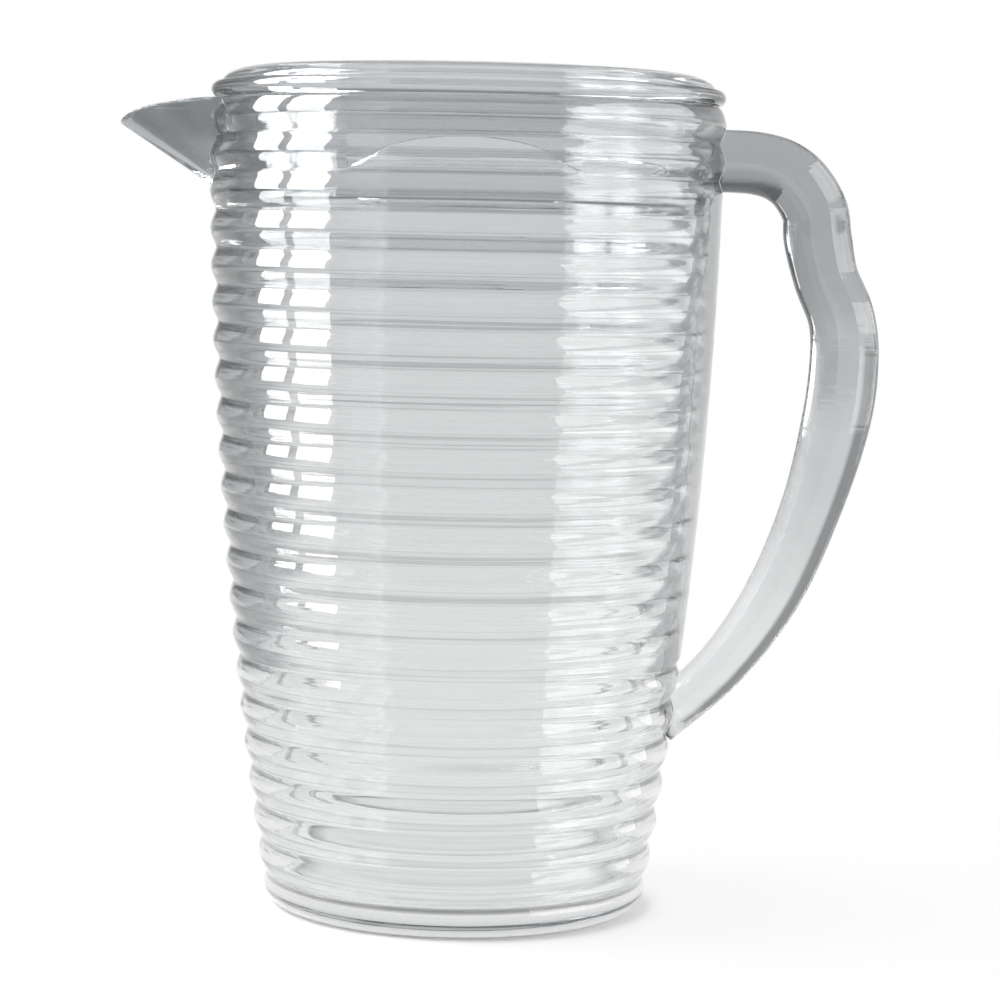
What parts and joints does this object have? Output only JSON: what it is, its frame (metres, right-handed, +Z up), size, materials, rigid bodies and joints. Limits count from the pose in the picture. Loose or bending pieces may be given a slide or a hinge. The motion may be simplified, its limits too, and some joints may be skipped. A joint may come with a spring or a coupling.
{
  "type": "juice jug",
  "caption": "Clear ribbed plastic juice jug with a beak spout, a palm-shaped loop handle and a flat turning lid whose skirt window opens or shuts the spout.",
  "frame": {"origin": "centre of the jug's flat base, on the jug's upright axis", "axes": "+Z up along the jug's axis, -X towards the spout, +X towards the handle, -Y the side that faces the camera"},
  "size_m": [0.2036, 0.1372, 0.223],
  "materials": {
    "clear_plastic": "polished clear moulded plastic, colourless",
    "clear_silicone": "soft satin translucent silicone"
  },
  "bodies": {
    "jug": {"jug_body": "clear_plastic", "spout": "clear_plastic", "handle": "clear_plastic"},
    "seal": {"lid_seal": "clear_silicone"},
    "lid": {"lid": "clear_plastic"}
  },
  "joints": [
    {"name": "lid_lift", "type": "slide", "parent": "jug", "child": "seal", "axis": [0, 0, 1], "range_m": [0, 0.06]},
    {"name": "lid_turn", "type": "hinge", "parent": "seal", "child": "lid", "pos_m": [0, 0, 0.2146], "axis": [0, 0, 1], "continuous": true}
  ]
}
